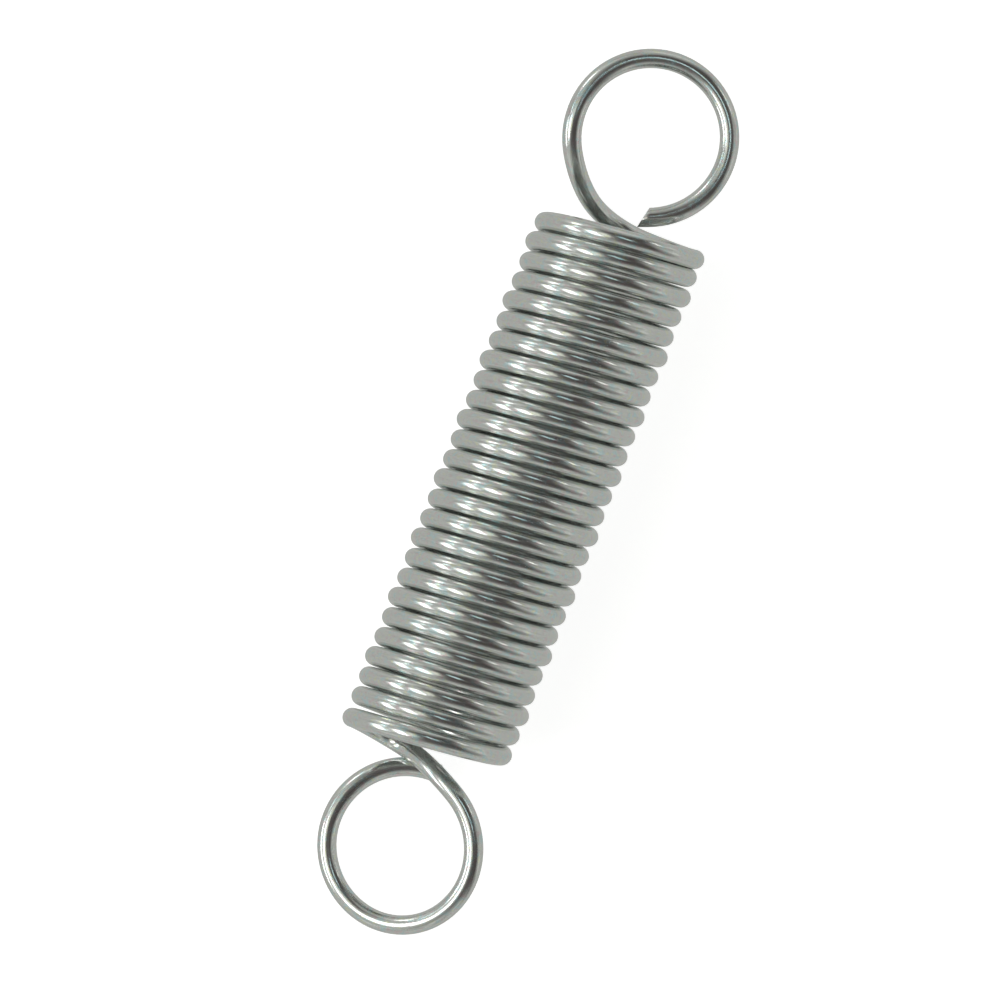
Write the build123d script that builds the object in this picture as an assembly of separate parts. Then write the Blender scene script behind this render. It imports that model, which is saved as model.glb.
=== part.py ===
from build123d import *
import math
import os

# Extension spring: one round steel wire, close wound, with a full loop at each end.
# The spring lies on its side. X runs along the coil axis from the lower loop to the
# upper loop, Z is up, and z = 0 is the surface that it lies on. Both loops lie nearly
# level. All sizes are in millimetres.

# ---- driving dimensions ----
WIRE_DIAMETER = 2.14
OUTSIDE_DIAMETER = 19.05
TURN_COUNT = 26                  # strands that cross the top of the coil
TOP_PITCH = 2.314                # spacing of the turns along one side
UNDER_PITCH = 2.335              # the same along the other side, where the lean eases
FIRST_LEFT_X = 28.32             # left tip of the turn next to the upper loop
FIRST_RIGHT_X = 30.66            # right tip of the same turn
SIDE_WAVER = 0.13                # sideways wander of the turns, which repeats every three
WAVER_TURNS = 3
CUTTER = 2.6                     # side of the block that shears an end off

wire_radius = WIRE_DIAMETER / 2
coil_radius = (OUTSIDE_DIAMETER - WIRE_DIAMETER) / 2


class LoopEnd:
    """One end of the spring, in a frame that points along the coil towards that loop.

    Angles on the loop start at the side that faces the coil, and run the way the wire
    does. Heights are measured from the coil axis.
    """

    def __init__(self, tip_x, hold, creep, centre, joints, cut, shear):
        self.tip_x = tip_x        # where the neck leaves the coil, at its side
        self.hold = hold          # degrees that the neck stays on the coil's own round
        self.creep = creep        # drift along the axis over that stretch
        self.centre = centre      # loop centre, along and across
        self.joints = joints      # four (angle, radius, height) where the loop's arcs meet
        self.cut = cut            # (angle, radius, height) of the middle of the cut face
        self.shear = shear        # lean of that face towards the loop's inside, degrees

    def on_loop(self, angle, radius, height):
        """Point of the loop at an angle."""
        turn = math.radians(angle)
        along, across = self.centre
        return Vector(along - radius * math.cos(turn), across + radius * math.sin(turn), height)

    def path(self):
        """Arcs of the wire from the side of the coil to its cut end."""
        hold = math.radians(self.hold)
        tip = Vector(self.tip_x, -coil_radius, 0)
        leave = Vector(
            self.tip_x + self.creep,
            -coil_radius * math.cos(hold),
            -coil_radius * math.sin(hold),
        )
        join, near, far, stop = [self.on_loop(*joint) for joint in self.joints]
        chord = far - near
        outward = Vector(-chord.Y, chord.X, 0).normalized()
        if outward.X < 0:
            outward = outward * -1
        run_in = Edge.make_tangent_arc(near, outward * -1, join)
        heading = (run_in % 1) * -1
        arcs = [Edge.make_tangent_arc(tip, Vector(0, 0, -1), leave)]
        arcs += two_arcs(leave, arcs[0] % 1, join, heading)
        arcs.append(Edge.make_tangent_arc(join, heading, near))
        arcs.append(Edge.make_tangent_arc(near, outward, far))
        arcs.append(Edge.make_tangent_arc(far, arcs[-1] % 1, stop))
        return arcs

    def cutter(self):
        """Block whose face is the sheared face of the free end."""
        turn = math.radians(self.cut[0])
        onward = Vector(math.sin(turn), math.cos(turn), 0)
        inward = Vector(math.cos(turn), -math.sin(turn), 0)
        lean = math.radians(self.shear)
        facing = onward * math.cos(lean) + inward * math.sin(lean)
        face = Plane(origin=self.on_loop(*self.cut), z_dir=facing)
        return face * Pos(0, 0, CUTTER / 2) * Box(CUTTER, CUTTER, CUTTER)


def two_arcs(start, start_way, end, end_way):
    """Two arcs that leave start along start_way and reach end along end_way.

    Both ends get the same length of handle, the one that makes the two handles and the
    line between them fit two arcs, which is the root of a quadratic.
    """
    span = end - start
    both = start_way + end_way
    slant = span.dot(both)
    bend = 2 - 2 * start_way.dot(end_way)
    handle = (math.sqrt(slant * slant + bend * span.dot(span)) - slant) / bend
    middle = (start + start_way * handle + end - end_way * handle) * 0.5
    first = Edge.make_tangent_arc(start, start_way, middle)
    return [first, Edge.make_tangent_arc(middle, first % 1, end)]


def tip(turn, first_x, pitch, side, phase):
    """Point at the side of the coil where a turn passes from the top to the underside."""
    waver = SIDE_WAVER * math.cos(2 * math.pi * (turn - phase) / WAVER_TURNS)
    return Vector(first_x - pitch * turn, side * (coil_radius + waver), 0)


def half_turn(start, end, up):
    """Half a turn of the coil, over the top or round the underside."""
    middle = (start + end) * 0.5 + Vector(0, 0, up * (end - start).length / 2)
    return Edge.make_three_point_arc(start, middle, end)


def coil_arcs(lower_tip, upper_tip):
    """Half turns of the body from the lower loop's neck to the upper loop's."""
    left = [tip(turn, FIRST_LEFT_X, TOP_PITCH, 1, 1) for turn in range(TURN_COUNT)]
    right = [tip(turn, FIRST_RIGHT_X, UNDER_PITCH, -1, 2)
             for turn in range(TURN_COUNT)]
    left[-1] = lower_tip
    right[0] = upper_tip
    arcs = []
    for turn in reversed(range(TURN_COUNT)):
        arcs.append(half_turn(left[turn], right[turn], 1))
        if turn > 0:
            arcs.append(half_turn(right[turn], left[turn - 1], -1))
    return arcs


def turned_about(arcs):
    """The same arcs turned half round the upright axis, from last to first."""
    turned = [arc.rotate(Axis.Z, 180) for arc in arcs]
    return [Edge.make_three_point_arc(arc @ 1, arc @ 0.5, arc @ 0) for arc in reversed(turned)]


def wire_along(arcs):
    """Round wire that follows the arcs."""
    route = Wire(arcs)
    section = Plane(origin=route @ 0, z_dir=route % 0) * Circle(wire_radius)
    return sweep(section, path=route)


upper_end = LoopEnd(
    tip_x=30.45,
    hold=72,
    creep=0.15,
    centre=(41.24, 0.84),
    joints=((60, 8.69, -2.05), (90, 8.64, -1.2), (270, 8.64, -1.6), (350, 8.95, -1.7)),
    cut=(344, 8.8, -1.7),
    shear=28,
)
lower_end = LoopEnd(
    tip_x=29.78,
    hold=42,
    creep=0.36,
    centre=(41.35, 1.3),
    joints=((25, 8.6, -0.8), (62, 8.4, -0.4), (242, 7.8, -6.4), (376, 9.25, -6.8)),
    cut=(370, 9.15, -6.8),
    shear=-22,
)

upper_arcs = upper_end.path()
lower_arcs = turned_about(lower_end.path())
body_arcs = coil_arcs(lower_arcs[-1] @ 1, upper_arcs[0] @ 0)
route_arcs = lower_arcs + body_arcs + upper_arcs
stock = wire_along(route_arcs)
spring = stock - upper_end.cutter() - lower_end.cutter().rotate(Axis.Z, 180)

wire_length = sum(arc.length for arc in route_arcs)
print("wire length", round(wire_length, 1), "mm")
print("volume", round(stock.volume, 1), "section x length",
      round(math.pi * wire_radius ** 2 * wire_length, 1), "as cut", round(spring.volume, 1))

box = spring.bounding_box()
print("axis above the surface", round(-box.min.Z, 3), "middle", box.center())
spring = Pos(-box.center().X, -box.center().Y, -box.min.Z) * spring
print("size", spring.bounding_box().size)

os.makedirs("parts", exist_ok=True)
export_step(spring, "parts/spring_wire.step")
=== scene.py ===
"""Extension spring: one bright zinc-plated wire, close wound, with a full loop at each end.

The spring lies on its side on a pale floor and is seen from straight above. X runs along
the coil axis towards the upper loop and Z is up. Everything is in metres.
"""

import logging
import math
from dataclasses import dataclass, field
from enum import Enum
from typing import Any

import bpy
import numpy as np
from mathutils import Matrix, Vector

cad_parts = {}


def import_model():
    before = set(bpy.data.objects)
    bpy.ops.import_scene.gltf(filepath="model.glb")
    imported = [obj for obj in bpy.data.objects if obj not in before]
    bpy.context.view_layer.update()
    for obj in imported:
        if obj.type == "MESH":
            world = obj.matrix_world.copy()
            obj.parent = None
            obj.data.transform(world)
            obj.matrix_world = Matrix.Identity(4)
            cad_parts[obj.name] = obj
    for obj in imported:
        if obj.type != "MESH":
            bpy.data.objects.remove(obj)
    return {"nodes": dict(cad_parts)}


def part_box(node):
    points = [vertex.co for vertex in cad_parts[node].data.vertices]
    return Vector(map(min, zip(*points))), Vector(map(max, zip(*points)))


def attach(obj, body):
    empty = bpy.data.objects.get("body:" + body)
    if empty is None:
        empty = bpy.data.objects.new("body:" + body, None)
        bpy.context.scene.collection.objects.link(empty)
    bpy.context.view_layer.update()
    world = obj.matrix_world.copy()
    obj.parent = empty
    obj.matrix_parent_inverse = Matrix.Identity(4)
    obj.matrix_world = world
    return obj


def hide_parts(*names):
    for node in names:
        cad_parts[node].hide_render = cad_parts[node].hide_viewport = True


LOG = logging.getLogger("spring")
MM = 0.001
COIL_AXIS_HEIGHT = 0.0095
CAD_NODE = "spring_wire"
ROOT_BODY = "root"
LENGTH_MAP = "wire_run"


class Side(Enum):
    """Which end of the spring a loop is at; the value turns its points into place."""

    UPPER = 1.0
    LOWER = -1.0


class Num:
    """A number socket in a node tree, with arithmetic that adds Math nodes."""

    def __init__(self, tree: "Tree", socket: Any) -> None:
        """Keeps the tree and the socket that carries the number."""
        self.tree = tree
        self.socket = socket

    def _math(self, operation: str, *values: Any) -> "Num":
        """Adds one Math node.

        Args:
            operation: The Math node's operation.
            values: Numbers or Num objects, in the order of the node's inputs.

        Returns:
            The node's result.
        """
        return Num(self.tree, self.tree.node("ShaderNodeMath", {"operation": operation}, values))

    def __add__(self, other: Any) -> "Num":
        """Sum."""
        return self._math("ADD", self, other)

    __radd__ = __add__

    def __sub__(self, other: Any) -> "Num":
        """Difference."""
        return self._math("SUBTRACT", self, other)

    def __rsub__(self, other: Any) -> "Num":
        """Difference, with this number taken from the other."""
        return self._math("SUBTRACT", other, self)

    def __mul__(self, other: Any) -> "Num":
        """Product."""
        return self._math("MULTIPLY", self, other)

    __rmul__ = __mul__

    def cosine(self) -> "Num":
        """Cosine, of radians."""
        return self._math("COSINE", self)

    def sine(self) -> "Num":
        """Sine, of radians."""
        return self._math("SINE", self)

    def ramp(self, low: float, high: float, start: float = 0.0, end: float = 1.0) -> "Num":
        """Smooth step from one value to another.

        Args:
            low: The input where the step begins.
            high: The input where it is over.
            start: The result below low.
            end: The result above high.

        Returns:
            The stepped number.
        """
        settings = {"interpolation_type": "SMOOTHSTEP", "clamp": True}
        values = (self, low, high, start, end)
        return Num(self.tree, self.tree.node("ShaderNodeMapRange", settings, values))


class Tree:
    """A node tree being built, for a material or the world."""

    def __init__(self, owner: Any) -> None:
        """Empties the owner's node tree.

        Args:
            owner: A material or a world.
        """
        owner.use_nodes = True
        self.nodes = owner.node_tree.nodes
        self.links = owner.node_tree.links
        self.nodes.clear()

    def node(self, kind: str, settings: dict[str, Any], inputs: Any = (), out: Any = 0) -> Any:
        """Adds a node.

        Args:
            kind: The node's type name.
            settings: Properties, set before the sockets.
            inputs: Values or links, as a sequence from the first socket on, or a dict
                from socket name or number.
            out: Name or number of the output wanted.

        Returns:
            The output socket.
        """
        node = self.nodes.new(kind)
        for name, value in settings.items():
            setattr(node, name, value)
        pairs = inputs.items() if isinstance(inputs, dict) else enumerate(inputs)
        for key, value in pairs:
            self._feed(node.inputs[key], value)
        return node.outputs[out] if len(node.outputs) else node

    def _feed(self, socket: Any, value: Any) -> None:
        """Links a socket to another, or gives it a value."""
        if isinstance(value, Num):
            value = value.socket
        if isinstance(value, bpy.types.NodeSocket):
            self.links.new(value, socket)
        elif value is not None:
            socket.default_value = value

    def number(self, kind: str, settings: dict[str, Any], inputs: Any = (), out: Any = 0) -> Num:
        """Adds a node whose wanted output is a number."""
        return Num(self, self.node(kind, settings, inputs, out))

    def mix(self, factor: Any, first: Any, second: Any, blend: str = "MIX") -> Any:
        """Mixes two colours.

        Args:
            factor: How much of the second colour.
            first: Colour or link.
            second: Colour or link.
            blend: The blend type.

        Returns:
            The mixed colour's socket.
        """
        settings = {"data_type": "RGBA", "blend_type": blend}
        return self.node("ShaderNodeMix", settings, {0: factor, 6: first, 7: second}, 2)

    def noise(self, vector: Any, scale: float, detail: float = 3.0, rough: float = 0.5) -> Num:
        """Noise from 0 to 1 over a vector."""
        inputs = {"Vector": vector, "Scale": scale, "Detail": detail, "Roughness": rough}
        return self.number("ShaderNodeTexNoise", {}, inputs)


def rgb(red: float, green: float, blue: float) -> tuple[float, float, float, float]:
    """An opaque colour."""
    return (red, green, blue, 1.0)


@dataclass(frozen=True)
class ZincPlate:
    """Bright zinc plate with a thin clear passivate, over drawn wire.

    The plate is nearly neutral. The passivate tints it in soft patches of blue, straw and
    rose. The drawing die leaves fine lines along the wire, and handling leaves dull spots.
    """

    silver: tuple = rgb(0.80, 0.82, 0.80)
    blue: tuple = rgb(0.68, 0.84, 0.86)
    straw: tuple = rgb(0.84, 0.86, 0.70)
    rose: tuple = rgb(0.84, 0.75, 0.76)
    smut: tuple = rgb(0.54, 0.55, 0.54)
    roughness: float = 0.17

    def material(self) -> Any:
        """Builds the plated wire's material.

        Returns:
            The material.
        """
        material = bpy.data.materials.new("zinc_plate")
        tree = Tree(material)
        run = tree.node("ShaderNodeUVMap", {"uv_map": LENGTH_MAP})
        along = tree.number("ShaderNodeSeparateXYZ", {}, [run], 0)
        around = tree.number("ShaderNodeSeparateXYZ", {}, [run], 1) * math.tau
        across_a = around.cosine()
        across_b = around.sine()
        lengthwise = tree.node("ShaderNodeCombineXYZ", {}, [along * 0.05, across_a, across_b])
        short = tree.node("ShaderNodeCombineXYZ", {}, [along * 0.8, across_a, across_b])
        die_lines = tree.noise(lengthwise, 9.0, 4.0, 0.65)
        fine_lines = tree.noise(lengthwise, 26.0, 2.0, 0.5)
        patches = tree.noise(short, 1.3, 3.0, 0.55)
        second = tree.noise(short, 2.1, 2.0, 0.5)
        spots = tree.noise(short, 7.0, 5.0, 0.7)

        colour = tree.mix(patches.ramp(0.50, 0.66), self.silver, self.blue)
        colour = tree.mix(second.ramp(0.55, 0.70), colour, self.straw)
        colour = tree.mix(second.ramp(0.46, 0.32), colour, self.rose)
        colour = tree.mix(spots.ramp(0.44, 0.78, 0.0, 0.55), colour, self.smut)
        colour = tree.mix(die_lines.ramp(0.50, 0.74, 0.0, 0.35), colour, self.smut)

        haze = patches.ramp(0.35, 0.7, 0.0, 0.07) + spots.ramp(0.55, 0.78, 0.0, 0.12)
        rough = haze + self.roughness + (die_lines - 0.5) * 0.10
        height = die_lines * 0.6 + fine_lines * 0.4 + spots * 0.25
        bump = tree.node(
            "ShaderNodeBump", {}, {"Strength": 0.08, "Distance": 0.00004, "Height": height}
        )
        shader = tree.node(
            "ShaderNodeBsdfPrincipled",
            {},
            {
                "Base Color": colour,
                "Metallic": 1.0,
                "Roughness": rough,
                "Normal": bump,
                "Specular IOR Level": 0.5,
            },
        )
        tree.node("ShaderNodeOutputMaterial", {}, {"Surface": shader})
        return material


@dataclass(frozen=True)
class ShearedSteel:
    """Face left by the shear: duller, with a smooth bite and a torn half."""

    bright: tuple = rgb(0.58, 0.59, 0.60)
    torn: tuple = rgb(0.36, 0.37, 0.38)

    def material(self) -> Any:
        """Builds the cut face's material.

        Returns:
            The material.
        """
        material = bpy.data.materials.new("sheared_face")
        tree = Tree(material)
        place = tree.node("ShaderNodeTexCoord", {}, out="Object")
        grain = tree.noise(place, 2600.0, 4.0, 0.6)
        drag = tree.noise(place, 900.0, 2.0, 0.5)
        colour = tree.mix(drag.ramp(0.42, 0.58), self.bright, self.torn)
        rough = drag.ramp(0.40, 0.60, 0.28, 0.55)
        bump = tree.node(
            "ShaderNodeBump", {}, {"Strength": 0.5, "Distance": 0.00006, "Height": grain}
        )
        shader = tree.node(
            "ShaderNodeBsdfPrincipled",
            {},
            {"Base Color": colour, "Metallic": 1.0, "Roughness": rough, "Normal": bump},
        )
        tree.node("ShaderNodeOutputMaterial", {}, {"Surface": shader})
        return material


def unit(vector: np.ndarray) -> np.ndarray:
    """Vectors of length one along the last axis."""
    return vector / np.linalg.norm(vector, axis=-1, keepdims=True)


@dataclass
class Arc:
    """A flat arc from a point, along a heading, to a second point."""

    start: np.ndarray
    heading: np.ndarray
    end: np.ndarray

    def __post_init__(self) -> None:
        """Finds the centre: on the start's normal, as far from the start as from the end."""
        self.heading = unit(self.heading)
        chord = self.end - self.start
        self.inward = unit(chord - (chord @ self.heading) * self.heading)
        self.radius = (chord @ chord) / (2.0 * (chord @ self.inward))
        self.centre = self.start + self.radius * self.inward
        reach = self.end - self.centre
        self.angle = math.atan2(reach @ self.heading, -(reach @ self.inward)) % math.tau

    def points(self, step: float) -> np.ndarray:
        """Even points from the start up to, and without, the end.

        Args:
            step: Rough distance between points.

        Returns:
            The points, one a row.
        """
        count = max(8, math.ceil(self.radius * self.angle / step))
        turn = (self.angle * np.arange(count) / count)[:, None]
        return self.centre + self.radius * (
            np.sin(turn) * self.heading - np.cos(turn) * self.inward
        )

    def last_heading(self) -> np.ndarray:
        """Heading at the end of the arc."""
        return math.sin(self.angle) * self.inward + math.cos(self.angle) * self.heading


def two_arcs(start: np.ndarray, away: np.ndarray, end: np.ndarray, arriving: np.ndarray) -> list:
    """Two arcs that join two points with given headings.

    Both ends get a handle of one length, the root of a quadratic that lets the two
    handles and the line between them fit two arcs that meet smoothly.

    Args:
        start: First point.
        away: Heading there.
        end: Last point.
        arriving: Heading there.

    Returns:
        The two arcs.
    """
    span = end - start
    both = away + arriving
    slant = span @ both
    bend = 2.0 - 2.0 * (away @ arriving)
    handle = (math.sqrt(slant * slant + bend * (span @ span)) - slant) / bend
    middle = (start + away * handle + end - arriving * handle) / 2.0
    first = Arc(start, away, middle)
    return [first, Arc(middle, first.last_heading(), end)]


@dataclass
class LoopEnd:
    """One loop and its neck, in millimetres, in a frame that points out along the coil.

    Angles on the loop start at the side that faces the coil and run the way the wire
    does. Heights are measured from the coil axis.
    """

    side: Side
    tip_x: float
    hold: float
    creep: float
    centre: tuple[float, float]
    joints: tuple
    cut: tuple[float, float, float]
    shear: float

    def on_loop(self, angle: float, radius: float, height: float) -> np.ndarray:
        """Point of the loop at an angle in degrees."""
        turn = math.radians(angle)
        along, across = self.centre
        return np.array(
            [along - radius * math.cos(turn), across + radius * math.sin(turn), height]
        )

    def arcs(self, coil_radius: float) -> list[Arc]:
        """Arcs of the wire from the side of the coil to its cut end.

        Args:
            coil_radius: Radius of the coil's centreline.

        Returns:
            The arcs, in order.
        """
        hold = math.radians(self.hold)
        tip = np.array([self.tip_x, -coil_radius, 0.0])
        leave = np.array(
            [
                self.tip_x + self.creep,
                -coil_radius * math.cos(hold),
                -coil_radius * math.sin(hold),
            ]
        )
        join, near, far, _ = (self.on_loop(*joint) for joint in self.joints)
        stop = self.on_loop(*self.cut)
        chord = far - near
        outward = unit(np.array([-chord[1], chord[0], 0.0]))
        outward = outward * math.copysign(1.0, outward[0])
        run_in = Arc(near, -outward, join)
        heading = -run_in.last_heading()
        first = Arc(tip, np.array([0.0, 0.0, -1.0]), leave)
        loop = [Arc(join, heading, near), Arc(near, outward, far)]
        loop.append(Arc(far, loop[-1].last_heading(), stop))
        return [first, *two_arcs(leave, first.last_heading(), join, heading), *loop]

    def turned(self, points: np.ndarray) -> np.ndarray:
        """Points turned half round the upright axis at the lower end."""
        return points * np.array([self.side.value, self.side.value, 1.0])

    def cut_normal(self) -> np.ndarray:
        """Outward normal of the sheared face."""
        turn = math.radians(self.cut[0])
        lean = math.radians(self.shear)
        onward = np.array([math.sin(turn), math.cos(turn), 0.0])
        inward = np.array([math.cos(turn), -math.sin(turn), 0.0])
        return self.turned(onward * math.cos(lean) + inward * math.sin(lean))

    def centreline(self, coil_radius: float, step: float) -> np.ndarray:
        """Points from the side of the coil to the cut end, in millimetres."""
        arcs = self.arcs(coil_radius)
        points = np.concatenate([arc.points(step) for arc in arcs] + [arcs[-1].end[None]])
        return self.turned(points)

    def neck_length(self, coil_radius: float) -> float:
        """Length of wire from the side of the coil to where the loop proper begins."""
        return sum(arc.radius * arc.angle for arc in self.arcs(coil_radius)[:3])


@dataclass
class CoilBody:
    """The close-wound turns, in millimetres.

    The turns lean: a strand over the top climbs more than one underneath. Every third
    turn stands out a little at the sides.
    """

    turns: int = 26
    radius: float = 8.455
    top_pitch: float = 2.314
    under_pitch: float = 2.335
    first_left_x: float = 28.32
    first_right_x: float = 30.66
    waver: float = 0.13
    waver_turns: int = 3

    def _tips(self, first_x: float, pitch: float, side: float, phase: float) -> np.ndarray:
        """Points where the turns pass from the top to the underside, from the upper end.

        Formula: along is the first tip less the pitch times the turn; across is the
        radius with a cosine of the turn's place in its group of three.
        """
        turn = np.arange(self.turns)
        swing = np.cos(math.tau * (turn - phase) / self.waver_turns)
        across = side * (self.radius + self.waver * swing)
        return np.stack([first_x - pitch * turn, across, 0.0 * turn], axis=1)

    def centreline(self, lower_x: float, upper_x: float, step: float) -> np.ndarray:
        """Points of the coil from the lower neck's start to the upper neck's.

        Formula: over each half turn, the way along grows by half a pitch evenly and by
        the rest of the climb as half of one minus the cosine, which is the lean; the way
        across is a cosine and the height is a sine, up on one half turn and down on the
        next.

        Args:
            lower_x: Where the coil begins, on the left.
            upper_x: Where it ends, on the right.
            step: Rough distance between points.

        Returns:
            The points, one a row.
        """
        left = self._tips(self.first_left_x, self.top_pitch, 1.0, 1.0)
        right = self._tips(self.first_right_x, self.under_pitch, -1.0, 2.0)
        left[-1] = (lower_x, self.radius, 0.0)
        right[0] = (upper_x, -self.radius, 0.0)
        tips = np.stack([left, right], axis=1)[::-1].reshape(-1, 3)
        halves = len(tips) - 1
        per_half = math.ceil(math.pi * self.radius / step)
        half = np.repeat(np.arange(halves), per_half)
        part = np.tile(np.arange(per_half) / per_half, halves)
        first, last = tips[half], tips[half + 1]
        swing = (1.0 - np.cos(math.pi * part)) / 2.0
        even_climb = self.top_pitch / 2.0
        along = first[:, 0] + even_climb * part + (last - first)[:, 0] * swing
        along = along - even_climb * swing
        across = first[:, 1] + (last - first)[:, 1] * swing
        bulge = np.abs(last - first)[:, 1] / 2.0
        height = np.where(half % 2 == 0, 1.0, -1.0) * bulge * np.sin(math.pi * part)
        return np.stack([along, across, height], axis=1)


def smoothed(points: np.ndarray, step: float, spread: float) -> np.ndarray:
    """Evenly spaced points with small corners of curvature rounded off.

    Formula: points are read at equal distances along the line, then averaged with a bell
    curve. The line is continued past each end by its own half turn about that end, so
    that the ends stay where they are.

    Args:
        points: The line.
        step: Distance between the new points.
        spread: Standard deviation of the bell curve, as a distance.

    Returns:
        The new points.
    """
    run = np.concatenate([[0.0], np.cumsum(np.linalg.norm(np.diff(points, axis=0), axis=1))])
    at = np.linspace(0.0, run[-1], round(run[-1] / step) + 1)
    even = np.stack([np.interp(at, run, points[:, k]) for k in range(3)], axis=1)
    reach = math.ceil(3.0 * spread / step)
    bell = np.exp(-0.5 * (np.arange(-reach, reach + 1) * step / spread) ** 2)
    bell = bell / bell.sum()
    before = 2.0 * even[0] - even[reach:0:-1]
    after = 2.0 * even[-1] - even[-2 : -reach - 2 : -1]
    padded = np.concatenate([before, even, after])
    return np.stack([np.convolve(padded[:, k], bell, "valid") for k in range(3)], axis=1)


@dataclass
class SpringWire:
    """The whole spring as one swept wire.

    Sizes are in millimetres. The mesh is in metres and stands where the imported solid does.
    """

    wire_diameter: float = 2.14
    body: CoilBody = field(default_factory=CoilBody)
    upper: LoopEnd = field(
        default_factory=lambda: LoopEnd(
            side=Side.UPPER,
            tip_x=30.45,
            hold=72.0,
            creep=0.15,
            centre=(41.24, 0.84),
            joints=((60, 8.69, -2.05), (90, 8.64, -1.2), (270, 8.64, -1.6), (350, 8.95, -1.7)),
            cut=(344, 8.8, -1.7),
            shear=28.0,
        )
    )
    lower: LoopEnd = field(
        default_factory=lambda: LoopEnd(
            side=Side.LOWER,
            tip_x=29.78,
            hold=42.0,
            creep=0.36,
            centre=(41.35, 1.3),
            joints=((25, 8.6, -0.8), (62, 8.4, -0.4), (242, 7.8, -6.4), (376, 9.25, -6.8)),
            cut=(370, 9.15, -6.8),
            shear=-22.0,
        )
    )
    stations: int = 2380
    sides: int = 40
    cap_rings: tuple = (0.955, 0.80, 0.55, 0.28)
    edge_round: float = 0.05
    shear_run: float = 1.6
    fine_step: float = 0.1
    smoothing: float = 0.55

    def centreline(self) -> np.ndarray:
        """Centre of the wire from the lower cut to the upper cut, in millimetres."""
        step = self.fine_step
        radius = self.body.radius
        low = self.lower.centreline(radius, step)[::-1]
        coil = self.body.centreline(-self.lower.tip_x, self.upper.tip_x, step)
        high = self.upper.centreline(radius, step)
        line = smoothed(np.concatenate([low[:-1], coil, high]), step, self.smoothing)
        run = np.concatenate([[0.0], np.cumsum(np.linalg.norm(np.diff(line, axis=0), axis=1))])
        at = np.linspace(0.0, run[-1], self.stations)
        self.length = float(run[-1])
        return np.stack([np.interp(at, run, line[:, k]) for k in range(3)], axis=1)

    def _section_axes(self, line: np.ndarray) -> tuple[np.ndarray, np.ndarray, np.ndarray]:
        """Heading of the wire and two directions across it, at each station.

        Formula: the first direction across is a guide made square to the heading. The
        guide is the coil axis along the coil and the upright over each loop, and turns
        from one to the other over the neck.

        Args:
            line: The centreline.

        Returns:
            Heading, first direction and second direction, one a row.
        """
        heading = unit(np.gradient(line, axis=0))
        run = np.linspace(0.0, self.length, self.stations)
        radius = self.body.radius
        loop_low = self._loop_length(self.lower)
        loop_high = self.length - self._loop_length(self.upper)
        neck_low = self.lower.neck_length(radius)
        neck_high = self.upper.neck_length(radius)
        turn_low = 1.0 - self._ease((run - loop_low) / (0.5 * neck_low))
        turn_high = self._ease((run - loop_high + 0.5 * neck_high) / (0.5 * neck_high))
        tilt = (turn_low + turn_high)[:, None] * math.pi / 2.0
        guide = np.cos(tilt) * np.array([1.0, 0.0, 0.0]) + np.sin(tilt) * np.array([0.0, 0.0, 1.0])
        first = unit(guide - (guide * heading).sum(axis=1, keepdims=True) * heading)
        return heading, first, np.cross(heading, first)

    def _loop_length(self, end: LoopEnd) -> float:
        """Length of wire from the start of a loop to its cut."""
        return sum(arc.radius * arc.angle for arc in end.arcs(self.body.radius)[3:])

    @staticmethod
    def _ease(part: np.ndarray) -> np.ndarray:
        """Smooth step: three parts squared less two parts cubed, held from 0 to 1."""
        held = np.clip(part, 0.0, 1.0)
        return held * held * (3.0 - 2.0 * held)

    def rings(self) -> np.ndarray:
        """Rings of points round the wire, in millimetres.

        Formula: each point is the centreline plus the wire's radius times the cosine and
        sine of its angle along the two directions across. Near a cut the rings slide
        along the wire, the more the nearer, until the last lies in the sheared face.

        Returns:
            Points as stations by sides by 3.
        """
        line = self.centreline()
        heading, first, second = self._section_axes(line)
        self.end_headings = (-heading[0], heading[-1])
        self.end_centres = (line[0], line[-1])
        angle = math.tau * np.arange(self.sides) / self.sides
        radius = self.wire_diameter / 2.0
        one_way = np.cos(angle)[None, :, None] * first[:, None]
        other_way = np.sin(angle)[None, :, None] * second[:, None]
        spoke = radius * (one_way + other_way)
        run = np.linspace(0.0, self.length, self.stations)
        near_low = self._ease(1.0 - run / self.shear_run)
        near_high = self._ease(1.0 - (self.length - run) / self.shear_run)
        slide = self._slide(spoke, self.lower.cut_normal(), heading[0]) * near_low[:, None]
        slide += self._slide(spoke, self.upper.cut_normal(), heading[-1]) * near_high[:, None]
        return line[:, None] + spoke + slide[:, :, None] * heading[:, None]

    @staticmethod
    def _slide(spoke: np.ndarray, normal: np.ndarray, heading: np.ndarray) -> np.ndarray:
        """How far a point goes along the wire to lie in a face through the centre.

        Formula: minus the spoke's part along the normal, over the heading's part.
        """
        return -(spoke @ normal) / (heading @ normal)

    def _cap(self, ring: np.ndarray, centre: np.ndarray, outward: np.ndarray) -> np.ndarray:
        """Rings and middle point that close a cut end.

        Formula: each ring is the last ring drawn in towards the centre by its factor and
        pushed out by the rounding of the edge.
        """
        factors = np.array(self.cap_rings)[:, None, None]
        rings = centre + factors * (ring - centre) + self.edge_round * outward
        return np.concatenate([rings.reshape(-1, 3), centre[None] + self.edge_round * outward])

    def mesh(self, rings: np.ndarray, place: Vector) -> Any:
        """Makes the mesh.

        Args:
            rings: Rings of points round the wire, in millimetres.
            place: Where the middle of the coil axis stands, in metres.

        Returns:
            The mesh, with the wire's run in its UV map.
        """
        tube = rings.reshape(-1, 3)
        low = self._cap(rings[0], self.end_centres[0], self.end_headings[0])
        high = self._cap(rings[-1], self.end_centres[1], self.end_headings[1])
        points = np.concatenate([tube, low, high]) * MM + np.array(place)

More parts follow.
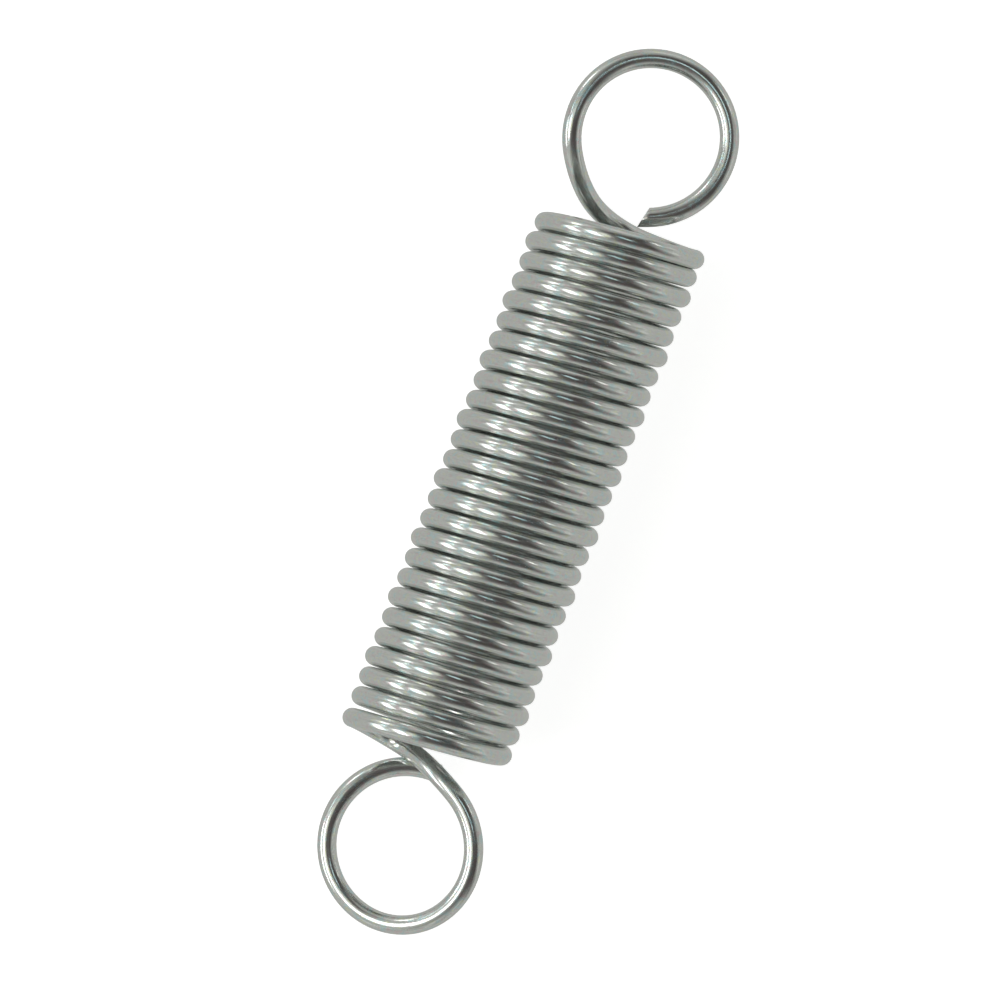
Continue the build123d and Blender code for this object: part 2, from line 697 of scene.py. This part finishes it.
        station, side = np.meshgrid(
            np.arange(self.stations - 1), np.arange(self.sides), indexing="ij"
        )
        here = station * self.sides + side
        beside = station * self.sides + (side + 1) % self.sides
        quads = np.stack([here, beside, beside + self.sides, here + self.sides], axis=-1)
        low_quads, low_fan = self._cap_faces(len(tube), 0, flip=True)
        high_quads, high_fan = self._cap_faces(
            len(tube) + len(low), (self.stations - 1) * self.sides, flip=False
        )
        fours = np.concatenate([quads.reshape(-1, 4), low_quads, high_quads])
        threes = np.concatenate([low_fan, high_fan])
        mesh = bpy.data.meshes.new("spring")
        mesh.from_pydata(points.tolist(), [], fours.tolist() + threes.tolist())
        mesh.polygons.foreach_set("use_smooth", np.ones(len(mesh.polygons), dtype=bool))
        self._mark_caps(mesh, quads.reshape(-1, 4).shape[0])
        self._write_run(mesh, len(tube))
        mesh.update()
        return mesh

    def _cap_faces(self, start: int, edge: int, flip: bool) -> tuple[np.ndarray, np.ndarray]:
        """Faces of a cap.

        Args:
            start: Number of the cap's first own point.
            edge: Number of the first point of the tube's last ring.
            flip: Whether the faces turn the other way.

        Returns:
            The four-sided faces and the fan of three-sided ones.
        """
        count = len(self.cap_rings)
        inner = start + np.arange(count * self.sides).reshape(count, self.sides)
        outer = np.concatenate([edge + np.arange(self.sides)[None], inner[:-1]])
        quads = np.stack(
            [outer, np.roll(outer, -1, axis=1), np.roll(inner, -1, axis=1), inner], axis=-1
        )
        last = inner[-1]
        middle = np.full(self.sides, start + count * self.sides)
        fan = np.stack([last, np.roll(last, -1), middle], axis=-1)
        quads = quads.reshape(-1, 4)
        if flip:
            return quads[:, ::-1], fan[:, ::-1]
        return quads, fan

    def _mark_caps(self, mesh: Any, tube_faces: int) -> None:
        """Gives the cut faces the second material, apart from their rounded edge."""
        total = len(mesh.polygons)
        slots = np.zeros(total, dtype=np.int32)
        cap_faces = len(self.cap_rings) * self.sides
        for first in (tube_faces, tube_faces + cap_faces):
            slots[first + self.sides : first + cap_faces] = 1
        slots[tube_faces + 2 * cap_faces :] = 1
        mesh.polygons.foreach_set("material_index", slots)

    def _write_run(self, mesh: Any, tube_points: int) -> None:
        """Writes the way along the wire, in millimetres, and the part of a turn round it."""
        corners = len(mesh.loops)
        point = np.zeros(corners, dtype=np.int64)
        mesh.loops.foreach_get("vertex_index", point)
        inside = point < tube_points
        station = np.where(inside, point // self.sides, 0)
        side = np.where(inside, point % self.sides, 0)
        along = station * self.length / (self.stations - 1)
        around = side / self.sides
        tube_corners = (self.stations - 1) * self.sides * 4
        closing = (np.arange(corners) < tube_corners) & (side == 0)
        face_side = (np.arange(corners) // 4) % self.sides
        around = np.where(closing & (face_side == self.sides - 1), 1.0, around)
        layer = mesh.uv_layers.new(name=LENGTH_MAP)
        layer.data.foreach_set("uv", np.stack([along, around], axis=1).ravel())

    def build(self) -> Any:
        """Builds the wire and dresses it.

        Returns:
            The finished object.
        """
        rings = self.rings()
        mesh = self.mesh(rings, self._stand(rings))
        mesh.materials.append(ZincPlate().material())
        mesh.materials.append(ShearedSteel().material())
        wire = bpy.data.objects.new("plated_wire", mesh)
        bpy.context.scene.collection.objects.link(wire)
        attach(wire, ROOT_BODY)
        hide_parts(CAD_NODE)
        return wire

    @staticmethod
    def _stand(rings: np.ndarray) -> Vector:
        """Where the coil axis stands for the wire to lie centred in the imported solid's box.

        Args:
            rings: Rings of points round the wire, in millimetres.

        Returns:
            The place, in metres.
        """
        low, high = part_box(CAD_NODE)
        points = rings.reshape(-1, 3)
        least, most = points.min(axis=0) * MM, points.max(axis=0) * MM
        middle = (least + most) / 2.0
        across = ((low[axis] + high[axis]) / 2.0 - middle[axis] for axis in range(2))
        return Vector((*across, low[2] - least[2]))


@dataclass(frozen=True)
class Lamp:
    """A soft lamp, placed by direction from the middle of the spring."""

    name: str
    right: float
    up: float
    away: float
    width: float
    height: float
    glow: float
    tint: tuple[float, float, float] = (1.0, 1.0, 1.0)


@dataclass
class Studio:
    """Floor, soft light and a camera that looks straight down."""

    lean: float = math.radians(21.14)
    frame_width: float = 0.10936
    look_at: tuple[float, float] = (-0.00185, 0.00208)
    camera_distance: float = 1.0
    sensor: float = 36.0
    wall: tuple = rgb(0.50, 0.512, 0.485)
    left_wall: tuple = rgb(0.40, 0.41, 0.395)
    dark: tuple = rgb(0.085, 0.077, 0.075)
    dark_left: tuple[float, float] = (-0.58, -0.06)
    dark_right: tuple[float, float] = (0.98, 0.60)
    dark_fade: tuple[float, float] = (0.80, 0.28)
    left_fade: tuple[float, float] = (-0.80, -0.97)
    clutter_size: float = 3.4
    floor_half: float = 3.0
    paper: tuple = rgb(0.82, 0.82, 0.82)
    paper_glow: float = 0.80
    mirrored_floor: tuple = rgb(0.47, 0.475, 0.455)
    lamp_distance: float = 0.6
    lamps: tuple[Lamp, ...] = (
        Lamp("window_low", -0.94, -0.08, 0.32, 0.34, 0.13, 2.4),
        Lamp("window_high", -0.62, -0.10, 0.78, 0.32, 0.13, 2.4),
        Lamp("window_back", -0.62, 0.72, 0.32, 0.14, 0.10, 2.4),
        Lamp("soft_warm", -0.34, 0.02, 0.94, 0.32, 0.12, 0.50, (0.97, 1.0, 0.80)),
        Lamp("panel_cool", -0.80, 0.36, 0.48, 0.10, 0.04, 2.6, (0.74, 0.98, 1.0)),
        Lamp("glint_cool", 0.16, 0.16, 0.97, 0.20, 0.07, 1.3, (0.70, 0.97, 1.0)),
        Lamp("glint_right", 0.78, 0.46, 0.42, 0.16, 0.06, 1.6, (1.0, 1.0, 0.96)),
    )

    def _direction(self, right: float, up: float, away: float) -> Vector:
        """World direction from parts along the view's right, its up and towards it."""
        cos, sin = math.cos(self.lean), math.sin(self.lean)
        return Vector((right * sin + up * cos, up * sin - right * cos, away))

    def floor(self) -> Any:
        """Makes the floor: a pale sheet that keeps the spring's shadow.

        The camera sees it glow a little, so it comes out white. The wire mirrors it as an
        even grey.
        """
        size = self.floor_half
        mesh = bpy.data.meshes.new("floor")
        corners = [(-size, -size, 0), (size, -size, 0), (size, size, 0), (-size, size, 0)]
        mesh.from_pydata(corners, [], [(0, 1, 2, 3)])
        material = bpy.data.materials.new("floor_paper")
        tree = Tree(material)
        seen = tree.number("ShaderNodeLightPath", {}, out="Is Camera Ray")
        mirrored = tree.number("ShaderNodeLightPath", {}, out="Is Glossy Ray")
        paper = tree.node("ShaderNodeBsdfDiffuse", {}, {"Color": self.paper})
        glow = tree.node(
            "ShaderNodeEmission", {}, {"Color": rgb(1.0, 1.0, 1.0), "Strength": seen * self.paper_glow}
        )
        both = tree.node("ShaderNodeAddShader", {}, [paper, glow])
        grey = tree.node("ShaderNodeEmission", {}, {"Color": self.mirrored_floor})
        both = tree.node("ShaderNodeMixShader", {}, [mirrored, both, grey])
        tree.node("ShaderNodeOutputMaterial", {}, {"Surface": both})
        mesh.materials.append(material)
        floor = bpy.data.objects.new("floor", mesh)
        bpy.context.scene.collection.objects.link(floor)
        return floor

    def world(self) -> None:
        """Makes the room: soft light all round, with a dark band overhead to the right.

        Formula: the dark is a smooth step up and down again across the view, faded by
        a smooth step of the square of the part along the view's up.
        """
        world = bpy.data.worlds.new("room")
        bpy.context.scene.world = world
        tree = Tree(world)
        way = tree.node("ShaderNodeTexCoord", {}, out="Generated")
        right_part = self._part(tree, way, (1.0, 0.0, 0.0))
        up_part = self._part(tree, way, (0.0, 1.0, 0.0))
        shade = right_part.ramp(*self.dark_left) * right_part.ramp(*self.dark_right)
        shade = shade * (up_part * up_part).ramp(*self.dark_fade)
        wall = tree.mix(right_part.ramp(*self.left_fade), self.wall, self.left_wall)
        colour = tree.mix(shade, wall, self.dark)
        clutter = tree.noise(way, self.clutter_size, 4.0, 0.6).ramp(0.36, 0.66, 0.70, 1.30)
        colour = tree.mix(1.0, colour, clutter, "MULTIPLY")
        seen = tree.node("ShaderNodeLightPath", {}, out="Is Camera Ray")
        colour = tree.mix(seen, colour, rgb(1.0, 1.0, 1.0))
        room = tree.node("ShaderNodeBackground", {}, {"Color": colour, "Strength": 1.0})
        tree.node("ShaderNodeOutputWorld", {}, {"Surface": room})

    def _part(self, tree: Tree, way: Any, axis: tuple[float, float, float]) -> Num:
        """How far a way in the room points along one of the view's axes."""
        inputs = [way, tuple(self._direction(*axis))]
        return tree.number("ShaderNodeVectorMath", {"operation": "DOT_PRODUCT"}, inputs, "Value")

    def light(self) -> None:
        """Hangs the lamps, each turned to the spring."""
        for lamp in self.lamps:
            data = bpy.data.lights.new(lamp.name, "AREA")
            data.shape = "RECTANGLE"
            data.size = lamp.width
            data.size_y = lamp.height
            data.energy = lamp.glow * math.pi * lamp.width * lamp.height
            data.color = lamp.tint
            place = self._direction(lamp.right, lamp.up, lamp.away) * self.lamp_distance
            turn = place.to_track_quat("Z", "Y").to_matrix().to_4x4()
            hung = bpy.data.objects.new(lamp.name, data)
            hung.matrix_world = Matrix.Translation(place) @ turn
            bpy.context.scene.collection.objects.link(hung)

    def camera(self, axis_height: float) -> None:
        """Sets the camera over the spring, with the coil leaning in the view.

        Args:
            axis_height: Height of the coil axis, which the frame's width is measured at.
        """
        data = bpy.data.cameras.new("camera")
        data.sensor_width = self.sensor
        data.lens = self.sensor * self.camera_distance / self.frame_width
        data.clip_start = 0.01
        data.clip_end = 20.0
        right = self._direction(1.0, 0.0, 0.0)
        up = self._direction(0.0, 1.0, 0.0)
        turn = Matrix((right, up, Vector((0.0, 0.0, 1.0)))).transposed().to_4x4()
        place = Vector((*self.look_at, axis_height + self.camera_distance))
        camera = bpy.data.objects.new("camera", data)
        camera.matrix_world = Matrix.Translation(place) @ turn
        bpy.context.scene.collection.objects.link(camera)
        bpy.context.scene.camera = camera


def report(piece: Any) -> None:
    """Logs a finished piece and its count of triangles."""
    triangles = sum(len(face.vertices) - 2 for face in piece.data.polygons)
    LOG.info("%s: %d triangles", piece.name, triangles)


def main() -> None:
    """Builds the spring, then the studio."""
    logging.basicConfig(level=logging.INFO)
    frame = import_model()
    LOG.info("packed nodes: %d", len(frame["nodes"]))
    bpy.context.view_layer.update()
    bpy.context.scene.view_settings.view_transform = "Standard"
    spring = SpringWire()
    report(spring.build())
    LOG.info("wire length %.1f mm", spring.length)
    studio = Studio()
    studio.floor()
    studio.world()
    studio.light()
    studio.camera(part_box(CAD_NODE)[0][2] + COIL_AXIS_HEIGHT)


if __name__ == "__main__":
    main()
